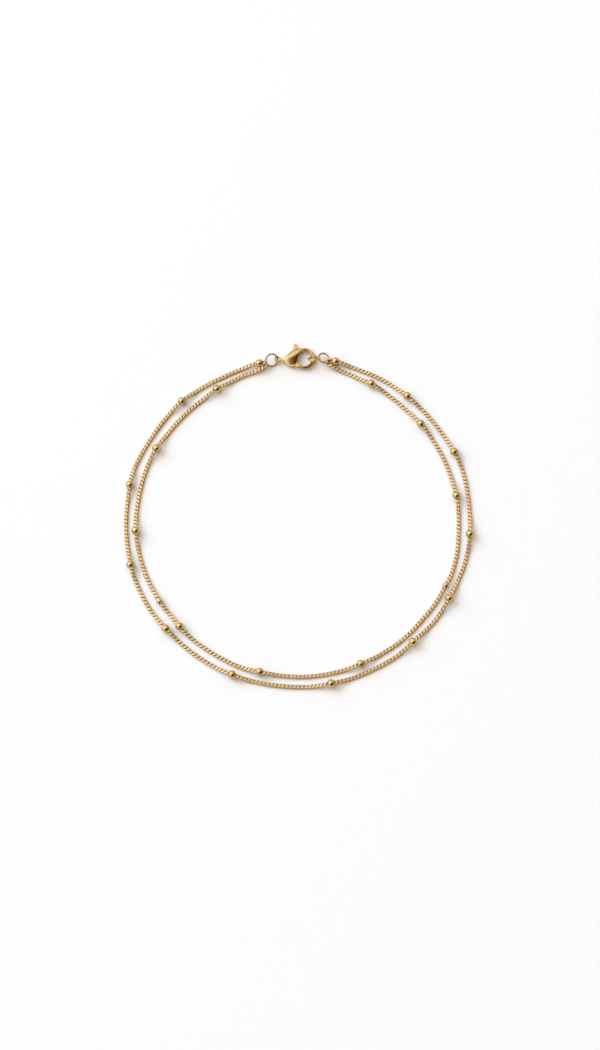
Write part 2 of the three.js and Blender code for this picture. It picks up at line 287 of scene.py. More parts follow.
# %% [markdown]
# Three jump rings join the strands to the clasp. Each is opened sideways, hooked through its
# neighbours and pressed shut again, so a hairline crosses its wire where the two cut ends meet.
# The swept tube stops just short of closing, and its ends are capped.

# %% Jump rings
RING_WIRES = {"ring_tail": 0.3 * MM, "ring_hook": 0.3 * MM, "ring_end": 0.34 * MM}  # radii
RING_INSET = 1.05  # from the solid's outline to the middle of the wire, in radii of the wire
RING_SPLIT = 0.03 * MM  # the hairline where a jump ring's ends meet

for node, wire in RING_WIRES.items():
    middle, axes, reach = loop_pose(node)
    radius = (reach[0] + reach[1]) / 2 - RING_INSET * wire
    ring = sweep_loop(node.replace("ring", "jump_ring"), middle, axes, radius, radius, wire,
                      split=RING_SPLIT / radius)
    # The ring in the hook takes the paler wire colour, a painted highlight
    painted_highlight_finish = "painted_highlight_ring" if node == "ring_hook" else None
    finish_piece(ring, "ring_gold", "necklace", node, finish=painted_highlight_finish)
    print(node, "mean radius", round(radius / MM, 2), "mm")

# %% [markdown]
# Each strand ends in a small oval link that hangs on a ring. Its joint is soldered, so the tube
# closes on itself. It is plated with the chain and shares the chain's finish. Where it lies is
# kept, because the strand hooks into it later.

# %% End links
LINK_WIRE = 0.25 * MM  # its radius

link_poses = {}
for place in ("outer_left", "inner_left", "outer_right", "inner_right"):
    node = "end_link_" + place
    middle, axes, reach = loop_pose(node)
    half_length, half_width = reach[0] - LINK_WIRE, reach[1] - LINK_WIRE
    link = sweep_loop("oval_" + node, middle, axes, half_length, half_width, LINK_WIRE,
                      around=40, sides=12)
    finish_piece(link, "chain_gold", "necklace", node)
    link_poses[node] = (middle, axes[0], half_length)
    print(node, "is", round(2 * reach[0] / MM, 2), "mm long")

# %% [markdown]
# Each strand lies along a route that was laid out bead to bead. The same points shape
# the chain's tube in the CAD model. A centripetal Catmull-Rom curve passes through all of them
# without overshooting where they are unevenly spaced.

# %% The two routes
# Millimetres, from the left-hand ring round the front to the right-hand one
OUTER_ROUTE = [
    (-14.0, 56.9), (-16.7, 56.3), (-19.6, 55.35), (-26.9, 52.1), (-34.2, 48.3), (-43.8, 41.2),
    (-50.2, 33.6), (-57.1, 22.3), (-59.8, 16.1), (-61.6, 6.1), (-62.2, -3.9), (-61.3, -13.9),
    (-58.9, -23.7), (-53.0, -35.5), (-44.6, -45.3), (-34.8, -53.3), (-23.6, -59.2), (-12.2, -62.3),
    (-0.2, -63.5), (8.8, -62.9), (17.6, -60.8), (26.1, -57.3), (34.1, -52.8), (41.2, -46.8),
    (47.9, -40.1), (51.6, -34.9), (56.2, -26.4), (59.8, -17.1), (61.5, -7.3), (60.6, 9.5),
    (58.1, 19.2), (53.3, 28.1), (47.6, 36.2), (40.8, 43.2), (30.3, 50.9), (22.4, 54.4),
    (18.8, 55.8), (15.9, 56.9), (12.7, 57.75),
]
INNER_ROUTE = [
    (-13.0, 55.05), (-16.2, 53.7), (-18.6, 52.9), (-21.4, 51.7), (-25.1, 49.6), (-29.8, 47.0),
    (-36.2, 42.1), (-42.9, 35.9), (-50.5, 26.1), (-53.6, 20.7), (-56.7, 11.7), (-58.6, -0.8),
    (-58.2, -10.2), (-55.0, -22.3), (-49.2, -33.2), (-45.4, -37.9), (-39.6, -44.7), (-27.6, -53.1),
    (-17.0, -57.5), (-0.2, -59.8), (11.0, -58.7), (21.9, -55.4), (32.1, -49.9), (39.0, -44.5),
    (45.0, -37.9), (48.7, -33.2), (51.8, -27.9), (54.6, -22.4), (56.9, -13.3), (57.4, 2.3),
    (56.4, 8.5), (52.5, 20.4), (46.3, 31.1), (38.1, 40.1), (31.1, 46.0), (26.8, 48.8),
    (22.4, 50.9), (18.8, 52.7), (14.0, 54.75), (11.8, 55.85),
]


def through(points, steps=24):
    """A centripetal Catmull-Rom curve through the points, as many short steps."""
    points = np.array(points, float)
    points = np.vstack([2 * points[0] - points[1], points, 2 * points[-1] - points[-2]])
    parts = []
    for k in range(1, len(points) - 2):
        p0, p1, p2, p3 = points[k - 1:k + 3]
        t1 = np.linalg.norm(p1 - p0) ** 0.5
        t2 = t1 + np.linalg.norm(p2 - p1) ** 0.5
        t3 = t2 + np.linalg.norm(p3 - p2) ** 0.5
        t = np.linspace(t1, t2, steps, endpoint=False)[:, None]
        a1 = (t1 - t) / t1 * p0 + t / t1 * p1
        a2 = (t2 - t) / (t2 - t1) * p1 + (t - t1) / (t2 - t1) * p2
        a3 = (t3 - t) / (t3 - t2) * p2 + (t - t2) / (t3 - t2) * p3
        b1 = (t2 - t) / t2 * a1 + t / t2 * a2
        b2 = (t3 - t) / (t3 - t1) * a2 + (t - t1) / (t3 - t1) * a3
        parts.append((t2 - t) / (t2 - t1) * b1 + (t - t1) / (t2 - t1) * b2)
    return np.vstack(parts + [points[-2:-1]])


def distances(line):
    """How far along a line each of its points lies."""
    return np.concatenate([[0], np.cumsum(np.linalg.norm(np.diff(line, axis=0), axis=1))])


for name, route in (("outer", OUTER_ROUTE), ("inner", INNER_ROUTE)):
    length = round(distances(through(route))[-1])
    print(name, "route is", length, "mm through", len(route), "points")

# %% [markdown]
# The chain rests on the table and climbs smoothly to the middle of each bead, since a bead is
# fatter than the chain, and to the end links, which hang on the rings. Every climb pulls on the
# line near it, the nearest one hardest, so that two beads close together share one rise.

# %% How each strand lies
# A link is half as long and half as wide as this to the middle of its wire, which has a diameter
LINK = {"half_length": 1.03 * MM, "half_width": 0.44 * MM, "wire": 0.69 * MM}
PITCH = 2 * LINK["half_length"] - LINK["wire"]
CUT_HEIGHT = 0.36 * MM  # half the chain's thickness once its two faces are cut flat
REST_HEIGHT = CUT_HEIGHT + 0.12 * MM  # a link that has rolled a little stands on its edge
LIFT = 8 * MM  # how far from a bead the chain starts to climb
FOCUS = 4  # how much harder the nearest climb pulls: a power


def end_holds(strand, route):
    """Where the strand's first and last link hook into their end links."""
    holds = []
    for side, near in (("left", route[0]), ("right", route[-1])):
        middle, axis, half_length = link_poses[f"end_link_{strand}_{side}"]
        outward = Vector((near[0] * MM, near[1] * MM, middle.z)) - middle
        axis = axis if axis.dot(outward) > 0 else -axis
        holds.append(middle + axis * (half_length - LINK["wire"]))
    return holds


def beads_along(strand, flat, along):
    """Each bead's middle, its radius and how far along the strand it sits."""
    beads = {}
    for node in sorted(name for name in frame["nodes"] if name.startswith("bead_" + strand)):
        low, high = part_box(node)
        centre = (low + high) / 2
        nearest = np.linalg.norm(flat - np.array(centre[:2]), axis=1).argmin()
        beads[node] = {"centre": centre, "along": along[nearest], "radius": (high.z - low.z) / 2}
    return beads


def lay_strand(strand, route):
    """The strand's middle line in space, from end link to end link, and its beads' places."""
    holds = end_holds(strand, route)
    flat = through([(x * MM, y * MM) for x, y in route])
    flat = np.vstack([[holds[0][:2]], flat, [holds[1][:2]]])
    along = distances(flat)
    beads = beads_along(strand, flat, along)
    climbs = [(bead["along"], bead["centre"].z) for bead in beads.values()]
    climbs += [(0, holds[0].z), (along[-1], holds[1].z)]
    total = np.zeros(len(flat))
    lifted = np.zeros(len(flat))
    for place, top in climbs:
        share = np.clip(np.abs(along - place) / LIFT, 0, 1)
        weight = np.cos(pi / 2 * share) ** 2
        closeness = weight ** FOCUS + 1e-9  # never zero, so that the sum can be divided by
        lifted += closeness * (REST_HEIGHT + (top - REST_HEIGHT) * weight)
        total += closeness
    height = np.maximum(REST_HEIGHT, lifted / total)
    return np.column_stack([flat, height]), beads


strands = {"outer": lay_strand("outer", OUTER_ROUTE), "inner": lay_strand("inner", INNER_ROUTE)}
for strand, (line, beads) in strands.items():
    print(strand, "strand", round(distances(line)[-1] / MM), "mm,", len(beads), "beads")

# %% [markdown]
# A curb chain's links are ovals of round wire, all hung the same way, each twisted a little over
# a quarter turn end to end, so that the chain lies flat. Grinding or cutting the two flat sides
# gives the row of slanted facets that catches the light. One link is made once and a Geometry
# Nodes tree repeats it along the strand: the count, the link's sizes, its twist and how much it
# rolls are inputs, so a heavier or longer chain is the same tree with other numbers. There are
# hundreds of links, so each is kept coarse: the oval has 16 corners and its wire 8 sides.

# %% One link
FLAT_FACE = 0.97  # a face whose normal stands straighter up than this is a cut one, and flat


def one_link(tree, given):
    """The nodes that make one link, lying along X with its cut faces up and down."""
    # A circle stretched to an oval, twisted about its length, given its wire
    ring = add(tree, "GeometryNodeCurvePrimitiveCircle", {"Resolution": 16, "Radius": 1.0})
    size = add(tree, "ShaderNodeCombineXYZ",
               {"X": given["Half Length"], "Y": given["Half Width"], "Z": 1.0})
    oval = add(tree, "GeometryNodeTransform", {"Geometry": ring, "Scale": size})
    place = add(tree, "GeometryNodeInputPosition")
    along = add(tree, "ShaderNodeSeparateXYZ", {"Vector": place})
    share = add(tree, "ShaderNodeMath", {0: along, 1: given["Half Length"]}, operation="DIVIDE")
    angle = add(tree, "ShaderNodeMath", {0: share, 1: given["Twist"]}, operation="MULTIPLY")
    turned = add(tree, "ShaderNodeVectorRotate", {"Vector": place, "Angle": angle},
                 rotation_type="X_AXIS")
    twisted = add(tree, "GeometryNodeSetPosition", {"Geometry": oval, "Position": turned})
    half_wire = add(tree, "ShaderNodeMath", {0: given["Wire"], 1: 2.0}, operation="DIVIDE")
    section = add(tree, "GeometryNodeCurvePrimitiveCircle",
                  {"Resolution": 8, "Radius": half_wire})
    wire = add(tree, "GeometryNodeCurveToMesh", {"Curve": twisted, "Profile Curve": section})

    # Both flat sides are cut: no point stands further out than the cut height
    corner = add(tree, "ShaderNodeSeparateXYZ", {"Vector": add(tree, "GeometryNodeInputPosition")})
    below = add(tree, "ShaderNodeMath", {0: given["Cut Height"], 1: -1.0}, operation="MULTIPLY")
    kept = add(tree, "ShaderNodeClamp",
               {"Value": corner.outputs["Z"], "Min": below, "Max": given["Cut Height"]})
    level = add(tree, "ShaderNodeCombineXYZ",
                {"X": corner.outputs["X"], "Y": corner.outputs["Y"], "Z": kept})
    cut = add(tree, "GeometryNodeSetPosition", {"Geometry": wire, "Position": level})
    facing = add(tree, "ShaderNodeSeparateXYZ", {"Vector": add(tree, "GeometryNodeInputNormal")})
    steep = add(tree, "ShaderNodeMath", {0: facing.outputs["Z"]}, operation="ABSOLUTE")
    rounded = add(tree, "FunctionNodeCompare", {0: steep, 1: FLAT_FACE}, data_type="FLOAT",
                  operation="LESS_THAN")
    shaded = add(tree, "GeometryNodeSetShadeSmooth", {"Geometry": cut, "Shade Smooth": rounded})

    # How deep each point sits between the cut faces, for the painted shade: 0 on the faces
    # and on the chain's open flanks, 1 half way down and near the middle of the chain
    share_up = add(tree, "ShaderNodeMath", {0: kept, 1: given["Cut Height"]}, operation="DIVIDE")
    size_up = add(tree, "ShaderNodeMath", {0: share_up}, operation="ABSOLUTE")
    sunk = add(tree, "ShaderNodeMath", {0: 1.0, 1: size_up}, operation="SUBTRACT")
    aside = add(tree, "ShaderNodeMath", {0: corner.outputs["Y"]}, operation="ABSOLUTE")
    flank = add(tree, "ShaderNodeMath", {0: given["Half Width"], 1: half_wire}, operation="ADD")
    inside = add(tree, "ShaderNodeMapRange",
                 {"Value": aside, "From Min": given["Half Width"], "From Max": flank,
                  "To Min": 1.0, "To Max": 0.0})
    painted_shade_depth = add(tree, "ShaderNodeMath", {0: sunk, 1: inside}, operation="MULTIPLY")
    return add(tree, "GeometryNodeStoreNamedAttribute",
               {"Geometry": shaded, "Name": "painted_shade_depth", "Value": painted_shade_depth},
               data_type="FLOAT", domain="POINT")


print("a link is", round((2 * LINK["half_length"] + LINK["wire"]) / MM, 2), "mm long and the pitch",
      round(PITCH / MM, 2), "mm")

# %% [markdown]
# The tree sets points along the strand and puts a copy of the link on each, turned to run with
# the chain. Two small rolls keep the row from looking drawn with a ruler: a slow one along the
# strand, and one that differs from link to link.

# %% The curb chain's node tree
DRIFT_SPACING = 25 * MM  # how far along the strand its slow roll takes to change


def chain_tree():
    """A tree that repeats the link along a curve."""
    tree = bpy.data.node_groups.new("curb_chain", "GeometryNodeTree")
    face = tree.interface
    face.new_socket("Geometry", in_out="OUTPUT", socket_type="NodeSocketGeometry")
    face.new_socket("Strand", in_out="INPUT", socket_type="NodeSocketGeometry")
    for name in ("Half Length", "Half Width", "Wire", "Cut Height", "Twist", "Roll", "Drift"):
        face.new_socket(name, in_out="INPUT", socket_type="NodeSocketFloat")
    face.new_socket("Links", in_out="INPUT", socket_type="NodeSocketInt")
    face.new_socket("Seed", in_out="INPUT", socket_type="NodeSocketInt")
    face.new_socket("Finish", in_out="INPUT", socket_type="NodeSocketMaterial")
    given = tree.nodes.new("NodeGroupInput").outputs
    link = one_link(tree, given)

    # Along the strand: X runs with the chain, Z stays up, and each link rolls a little
    points = add(tree, "GeometryNodeResampleCurve",
                 {"Curve": given["Strand"], "Count": given["Links"]})
    heading = add(tree, "FunctionNodeAxesToRotation",
                  {"Primary Axis": add(tree, "GeometryNodeInputTangent"), "Secondary Axis": UP},
                  primary_axis="X", secondary_axis="Z")
    shake = add(tree, "FunctionNodeRandomValue", {2: -1.0, 3: 1.0, "Seed": given["Seed"]},
                data_type="FLOAT")
    jitter = add(tree, "ShaderNodeMath", {0: shake.outputs[1], 1: given["Roll"]},
                 operation="MULTIPLY")
    slow = add(tree, "ShaderNodeTexNoise", {"Scale": 1 / DRIFT_SPACING, "Detail": 1.0})
    centred = add(tree, "ShaderNodeMath", {0: slow, 1: 0.5}, operation="SUBTRACT")
    wander = add(tree, "ShaderNodeMath", {0: centred, 1: given["Drift"], 2: jitter},
                 operation="MULTIPLY_ADD")
    roll = add(tree, "FunctionNodeAxisAngleToRotation", {"Axis": (1, 0, 0), "Angle": wander})
    pose = add(tree, "FunctionNodeRotateRotation", {0: heading, 1: roll}, rotation_space="LOCAL")
    row = add(tree, "GeometryNodeInstanceOnPoints",
              {"Points": points, "Instance": link, "Rotation": pose})
    real = add(tree, "GeometryNodeRealizeInstances", {"Geometry": row})
    painted = add(tree, "GeometryNodeSetMaterial", {"Geometry": real, "Material": given["Finish"]})
    add(tree, "NodeGroupOutput", {"Geometry": painted})
    return tree


curb_chain = chain_tree()
print("chain tree with", len(curb_chain.nodes), "nodes")

# %% [markdown]
# The first and last links hook into the end links, so the row starts half a link inside them.
# A modifier's inputs are set by their identifiers before the object is first evaluated, and
# the result becomes a plain mesh.

# %% Both chains
LINK_TWIST = radians(-52)  # from a link's middle to its end
LINK_ROLL = radians(4)  # the most that one link rolls by itself
STRAND_DRIFT = radians(30)  # how much a stretch of chain rolls, slowly, against the next


def resample(line, start, end, count):
    """Evenly spaced points on a line, between two distances along it."""
    along = distances(line)
    wanted = np.linspace(start, end, count)
    return np.column_stack([np.interp(wanted, along, line[:, k]) for k in range(3)])


def make_chain(strand, line, seed):
    """One strand of links, as a plain mesh that stands for its tube in the CAD model."""
    length = distances(line)[-1]
    run = length - 2 * LINK["half_length"]
    links = round(run / PITCH) + 1
    middles = resample(line, LINK["half_length"], length - LINK["half_length"], links)
    path = bpy.data.curves.new("strand_" + strand, "CURVE")
    path.dimensions = "3D"
    spline = path.splines.new("POLY")
    spline.points.add(len(middles) - 1)
    for point, place in zip(spline.points, middles):
        point.co = (*place, 1)
    chain = bpy.data.objects.new("strand_path_" + strand, path)
    bpy.context.scene.collection.objects.link(chain)
    modifier = chain.modifiers.new("curb_chain", "NODES")
    modifier.node_group = curb_chain
    values = {
        "Half Length": LINK["half_length"], "Half Width": LINK["half_width"], "Wire": LINK["wire"],
        "Cut Height": CUT_HEIGHT, "Twist": LINK_TWIST, "Roll": LINK_ROLL, "Drift": STRAND_DRIFT,
        "Links": links, "Seed": seed, "Finish": finishes["chain_gold"],
    }
    for socket in curb_chain.interface.items_tree:
        if socket.in_out == "INPUT" and socket.name in values:
            modifier[socket.identifier] = values[socket.name]
    bpy.context.view_layer.update()
    evaluated = chain.evaluated_get(bpy.context.evaluated_depsgraph_get())
    mesh = bpy.data.meshes.new_from_object(evaluated)
    bpy.data.objects.remove(chain)
    made = bpy.data.objects.new("curb_chain_" + strand, mesh)
    bpy.context.scene.collection.objects.link(made)
    finish_piece(made, "chain_gold", "necklace", "chain_" + strand)
    print(made.name, links, "links,", len(mesh.polygons), "faces")


for seed, (strand, (line, beads)) in enumerate(strands.items(), start=1):
    make_chain(strand, line, seed)

# %% [markdown]
# A bead is a thin ball with a hole through it, pressed from two cups and tumbled until the
# seam is gone. It could be a sphere cut by a cylinder, but the cut's edge would be sharp and
# ragged. So it is turned as on a lathe: half a profile, from the rolled lip of one hole over the
# ball to the other lip and back through the bore, spun round the chain's direction.

# %% Beads
def spin(name, centre, axis, profile, segments):
    """Spins a closed profile of (along, out) points round an axis."""
    axis = Vector(axis).normalized()
    side = axis.orthogonal().normalized()
    other = axis.cross(side)
    rows = len(profile)
    vertices, faces = [], []
    for k in range(segments):
        turn = 2 * pi * k / segments
        outward = side * cos(turn) + other * sin(turn)
        vertices += [centre + axis * x + outward * r for x, r in profile]
        step = ((k + 1) % segments) * rows
        for j in range(rows):
            faces.append((k * rows + j, k * rows + (j + 1) % rows, step + (j + 1) % rows, step + j))
    return closed_and_outward(make_object(name, vertices, faces))


def bead_profile(radius, bore, lip, arc_steps=26, lip_steps=5):
    """Over the ball from lip to lip, then back through the bore."""
    # The lip is a small circle that touches the ball from inside and the bore's wall
    lip_out = bore + lip
    lip_along = sqrt((radius - lip) ** 2 - lip_out ** 2)
    tilt = atan2(lip_out, lip_along)
    over = [(radius * cos(t), radius * sin(t)) for t in np.linspace(tilt, pi - tilt, arc_steps)]
    rolled = [(-lip_along - lip * cos(t), lip_out + lip * sin(t))
              for t in np.linspace(tilt, -pi / 2, lip_steps + 1)[1:]]
    back = [(-x, r) for x, r in rolled[::-1]]
    return over + rolled + back


BEAD_BORE = 0.88 * MM  # the bore's radius
BEAD_LIP = 0.06 * MM
BEAD_SEGMENTS = 48

for strand, (line, beads) in strands.items():
    along = distances(line)
    for node, bead in beads.items():
        before, after = [
            Vector([np.interp(bead["along"] + step * MM, along, line[:, k]) for k in range(3)])
            for step in (-1, 1)
        ]
        profile = bead_profile(bead["radius"], BEAD_BORE, BEAD_LIP)
        ball = spin(node.replace("bead", "ball"), bead["centre"], after - before, profile,
                    BEAD_SEGMENTS)
        finish_piece(ball, "bead_gold", "necklace", node)
print("beads done,", len(profile) * BEAD_SEGMENTS, "faces each")

# %% [markdown]
# The clasp's body is one casting: a small eye, a shank that swells into a domed head, and a
# hook that sweeps round to meet the lever's gate. It is lofted as a boat is, from stations. Each
# station spans the body from its outer contour to its inner one, and says how high and how deep
# the body is there, how high its inner rim stands and how far its ridge lies towards the outer
# side. A smooth curve through all the stations gives the sections between them.

# %% Clasp places
low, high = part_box("clasp_body")
HOOK_OUT = 3.98  # outer and inner radius of the hook, in mm about its own middle
HOOK_IN = 2.62
hook_middle = Vector((high.x - HOOK_OUT * MM, high.y - HOOK_OUT * MM, (low.z + high.z) / 2))
pivot = Vector(frame["joints"][0]["pos_m"])
px, py, _ = (pivot - hook_middle) / MM
print("hook middle", [round(c / MM, 2) for c in hook_middle],
      "pivot from it", round(px, 2), round(py, 2))


def on_circle(radius, angle):
    """A point on a circle about the hook's middle, by its angle in degrees from +X."""
    return (radius * cos(radians(angle)), radius * sin(radians(angle)))


def where_arcs_meet(radius, reach):
    """The point low on a circle about the hook's middle that lies at a reach from the pivot."""
    between = sqrt(px * px + py * py)
    turn = (radius ** 2 + between ** 2 - reach ** 2) / (2 * radius * between)
    heading = atan2(py, px) + np.arccos(turn)
    return (radius * cos(heading), radius * sin(heading))


# %% [markdown]
# A section through the clasp isn't an oval. Its upper side climbs steeply from the outer edge to
# the ridge, falls in a long slope to a valley, and ends in a thin raised lip at the inner edge.
# The underside is plainer: short upright walls and a rounded bottom.

# %% The shape of a section
EDGE = 0.04  # the least height of a section at its outer edge, in mm
LIP = 0.92  # where the valley beside the inner edge's raised lip lies, from 0 at the ridge to 1
LIP_RISE = 0.1  # how far the lip rises out of the valley, as a share of the slope's fall
SLOPE_BEND = 1.2  # the slope from the ridge to the valley is straight at 1 and domed above
INNER_CORNER = 16  # the inner edge's corner is round at 2 and square far above
WALL_CORNER = 5  # the same for the underside's upright wall
WALL_SHARE = 0.35  # how much of the underside's depth is upright wall


def station(outer, inner, top, rim, depth, ridge=0.0, crown=2.0):
    """
    One row of the loft, in mm about the hook's middle. It runs from the outer contour to the
    inner one. top is its height at the ridge, rim its height in the valley beside the inner lip
    and depth what lies below the middle plane. ridge is how far the ridge lies towards the
    outer side, and crown the curve from the ridge out: 2 is an ellipse, 1 a straight slope.
    """
    return (*outer, *inner, top, rim, depth, ridge, crown)


def section_top(x, top, rim, crown):
    """The height of the upper side at x, from -1 at the inner edge to 1 at the outer one."""
    if x >= 0:
        return EDGE + (top - EDGE) * (1 - x ** crown) ** (1 / crown)
    slope = top - (top - rim) * min(-x / LIP, 1) ** SLOPE_BEND
    lip = LIP_RISE * (top - rim) * max(0, (-x - LIP) / (1 - LIP))
    return (slope + lip) * (1 - x ** INNER_CORNER) ** (1 / INNER_CORNER)


def section_bottom(x, depth):
    """The height of the underside at x, which is negative."""
    upright = (1 - abs(x) ** WALL_CORNER) ** (1 / WALL_CORNER)
    rounded = (1 - x * x) ** 0.5
    return -depth * (WALL_SHARE * upright + (1 - WALL_SHARE) * rounded)


print("half way down its slope, a head that falls from 1.5 mm to 0.6 mm is",
      round(section_top(-LIP / 2, 1.5, 0.6, 2.0), 2), "mm high")

# %% [markdown]
# The loft joins the sections by faces and closes both ends. The slot, the pin and the lever's
# hole have straight sides and crisp edges, so each is a plain prism that a Boolean modifier
# takes away or adds.

# %% Lofting and carving
SECTION_POINTS = 64


def loft(name, stations, steps=6):
    """A closed skin over stations."""
    sections = through(stations, steps)
    vertices, faces = [], []
    for row in sections:
        outer, inner = Vector((*row[:2], 0)), Vector((*row[2:4], 0))
        top, rim, depth, ridge, crown = row[4:]
        for j in range(SECTION_POINTS):
            turn = 2 * pi * (j + 0.5) / SECTION_POINTS
            x = cos(turn)
            rise = section_top(x, top, rim, crown) if sin(turn) > 0 else section_bottom(x, depth)
            across = x + ridge * (1 - x * x)
            point = (outer + inner) / 2 + (outer - inner) / 2 * across + UP * rise
            vertices.append(hook_middle + MM * point)
    rows, n = len(sections), SECTION_POINTS
    for k in range(rows - 1):
        for j in range(n):
            a, b = k * n + j, k * n + (j + 1) % n
            faces.append((a, b, b + n, a + n))
    faces.append(tuple(range(n))[::-1])
    faces.append(tuple(range((rows - 1) * n, rows * n)))
    return closed_and_outward(make_object(name, vertices, faces))


def prism(name, outline, half_height):
    """A straight-sided block on an outline in mm about the hook's middle."""
    n = len(outline)
    vertices = [hook_middle + MM * Vector((x, y, z))
                for z in (-half_height, half_height) for x, y in outline]
    faces = [tuple(range(n))[::-1], tuple(range(n, 2 * n))]
    faces += [(k, (k + 1) % n, n + (k + 1) % n, n + k) for k in range(n)]
    return closed_and_outward(make_object(name, vertices, faces, smooth=False))


def carve(made, tool, operation):
    """Joins or cuts with another object, which is then removed."""
    cut = made.modifiers.new("carve", "BOOLEAN")
    cut.object = tool
    cut.operation = operation
    cut.solver = "EXACT"
    bpy.context.view_layer.update()
    bake_modifiers(made)
    bpy.data.objects.remove(tool)


def disc_outline(middle, radius, segments=48):
    """A circle's outline in mm, for a prism."""
    x, y = middle
    return [(x + radius * cos(2 * pi * k / segments), y + radius * sin(2 * pi * k / segments))
            for k in range(segments)]


print("every section has", SECTION_POINTS, "points")

# %% [markdown]
# The casting's stations run from the shank over the head and round the hook to its tip. The head
# is highest and widest beside the lever's pin. Its ridge lies towards the outer side, and a long
# slope falls from it to the opening, which is the dark fold that the clasp shows. Round the hook
# the section shrinks to a bar, whose outer edge swells a little again near the tip.

# %% Clasp body
EYE = {"middle": (-9.8, -0.45), "radius": 1.02, "wire": 0.3}  # mm about the hook's middle
TIP_REACH = 5.08  # how far from the pivot the gate meets the hook's tip
TIP_GAP = 0.14
LOW_OUT = 4.1  # the hook's outer and inner radius where the gate meets it
LOW_IN = 2.9
BAR_SHAPE = (0.62, 0.1, 0.85, 0.0, 1.25)  # top, rim, depth, ridge and crown of the hook's bar

# outer end, inner end, top, rim, depth, ridge, crown
casting = [
    station((-8.85, -0.02), (-8.85, -0.88), 0.38, 0.22, 0.36),
    station((-8.2, 0.04), (-8.2, -0.98), 0.52, 0.3, 0.46),
    station((-7.6, 0.16), (-7.55, -1.28), 0.76, 0.42, 0.62, 0.02),
    station((-6.9, 0.68), (-6.95, -1.95), 1.06, 0.55, 0.9, 0.06, 1.9),
    station((-6.1, 1.6), (-6.2, -2.68), 1.32, 0.6, 1.1, 0.1, 1.9),
    station((-5.2, 2.52), (-5.3, -3.08), 1.46, 0.62, 1.18, 0.13, 1.9),
    station((-4.2, 3.14), (-4.4, -3.2), 1.52, 0.62, 1.18, 0.17, 1.9),
    station((-3.2, 3.44), (-3.5, -2.95), 1.5, 0.62, 1.18, 0.22, 1.9),
    station((-2.2, 3.6), (-2.9, -2.2), 1.42, 0.62, 1.15, 0.26, 1.9),
    station(on_circle(3.9, 109), (-2.62, -1.2), 1.28, 0.62, 1.1, 0.3, 1.8),
    station(on_circle(3.94, 100), on_circle(2.66, 183), 1.18, 0.6, 1.05, 0.3, 1.7),
    station(on_circle(3.97, 92), on_circle(2.64, 161), 1.08, 0.56, 1.0, 0.28, 1.6),
    station(on_circle(HOOK_OUT, 83), on_circle(HOOK_IN, 139), 0.98, 0.45, 0.95, 0.24, 1.5),
    station(on_circle(HOOK_OUT, 74), on_circle(HOOK_IN, 117), 0.88, 0.35, 0.9, 0.2, 1.4),
    station(on_circle(HOOK_OUT, 63), on_circle(HOOK_IN, 94), 0.8, 0.25, 0.85, 0.15, 1.3),
    station(on_circle(HOOK_OUT, 50), on_circle(HOOK_IN, 72), 0.74, 0.18, 0.85, 0.1, 1.3),
    station(on_circle(HOOK_OUT, 35), on_circle(HOOK_IN, 50), 0.68, 0.12, 0.85, 0.05, 1.3),
]

# From here the bar keeps its section. At first a station's inner end is ahead of its outer end,
# and it falls back along the bar, so that the last one lies along the gate's end.
BAR_START, BAR_STOP, BAR_STEP = 24, -98, -10  # degrees about the hook's middle
SWELL_START, SWELL_RUN = -6, 60  # where the swelling begins and over how many degrees it grows
OUTER_TURN, INNER_TURN = 4, -4  # from a station's angle to its two ends, at the bar's start
FALL_BACK, FALL_RUN = 21, 131  # how far the inner end falls back, over how many degrees

for angle in range(BAR_START, BAR_STOP, BAR_STEP):
    swell = min(max(0, (SWELL_START - angle) / SWELL_RUN), 1)
    inner_angle = angle + INNER_TURN + FALL_BACK * (BAR_START - angle) / FALL_RUN
    casting.append(station(on_circle(HOOK_OUT + (LOW_OUT - HOOK_OUT) * swell, angle + OUTER_TURN),
                           on_circle(HOOK_IN + (LOW_IN - HOOK_IN) * swell, inner_angle),
                           *BAR_SHAPE))
tip_reach = TIP_REACH + TIP_GAP / 2
casting.append(station(where_arcs_meet(LOW_OUT, tip_reach), where_arcs_meet(LOW_IN, tip_reach),
                       *BAR_SHAPE))

body = loft("clasp_casting", casting)
eye_middle = hook_middle + MM * Vector((*EYE["middle"], 0))
eye = sweep_loop("eye", eye_middle, [Vector((1, 0, 0)), Vector((0, 1, 0)), UP],
                 EYE["radius"] * MM, EYE["radius"] * MM, EYE["wire"] * MM, around=48)
carve(body, eye, "UNION")
print("casting and eye,", len(casting), "stations,", len(body.data.polygons), "faces")

# %% [markdown]
# The lever rocks in a slot through the head, on a pin that stays in the two cheeks beside it.
# The slot is cut out of the casting and the pin joined to it. Shading the sharp edges of a cut
# as one smooth skin would smear them, so faces that meet steeply are marked as crisp.

# %% Slot and pin
SLOT_HALF = 0.54  # half the slot's thickness, mm: it leaves a gap on each side of the blade
PIN_RADIUS = 0.5  # mm
PIN_HALF = 0.9  # half the pin's length, mm: it ends inside the head's two cheeks
SHARP_EDGE = radians(40)  # faces that meet at more than this keep a crisp edge

# Open at the top for the thumb knob, and at the bottom right for the gate
slot = prism("slot", [(-6.2, -2.2), (-4.42, -2.25), (-3.72, -3.17), (-3.3, -4), (-1.5, -4),
                      (-1.5, 1.2), (-2.4, 1.2), (-2.4, 5), (-6.2, 5)], SLOT_HALF)
carve(body, slot, "DIFFERENCE")
carve(body, prism("pin", disc_outline((px, py), PIN_RADIUS), PIN_HALF), "UNION")
body.data.set_sharp_from_angle(angle=SHARP_EDGE)
finish_piece(body, "clasp_gold", "necklace", "clasp_body")
print("clasp body", len(body.data.polygons), "faces")

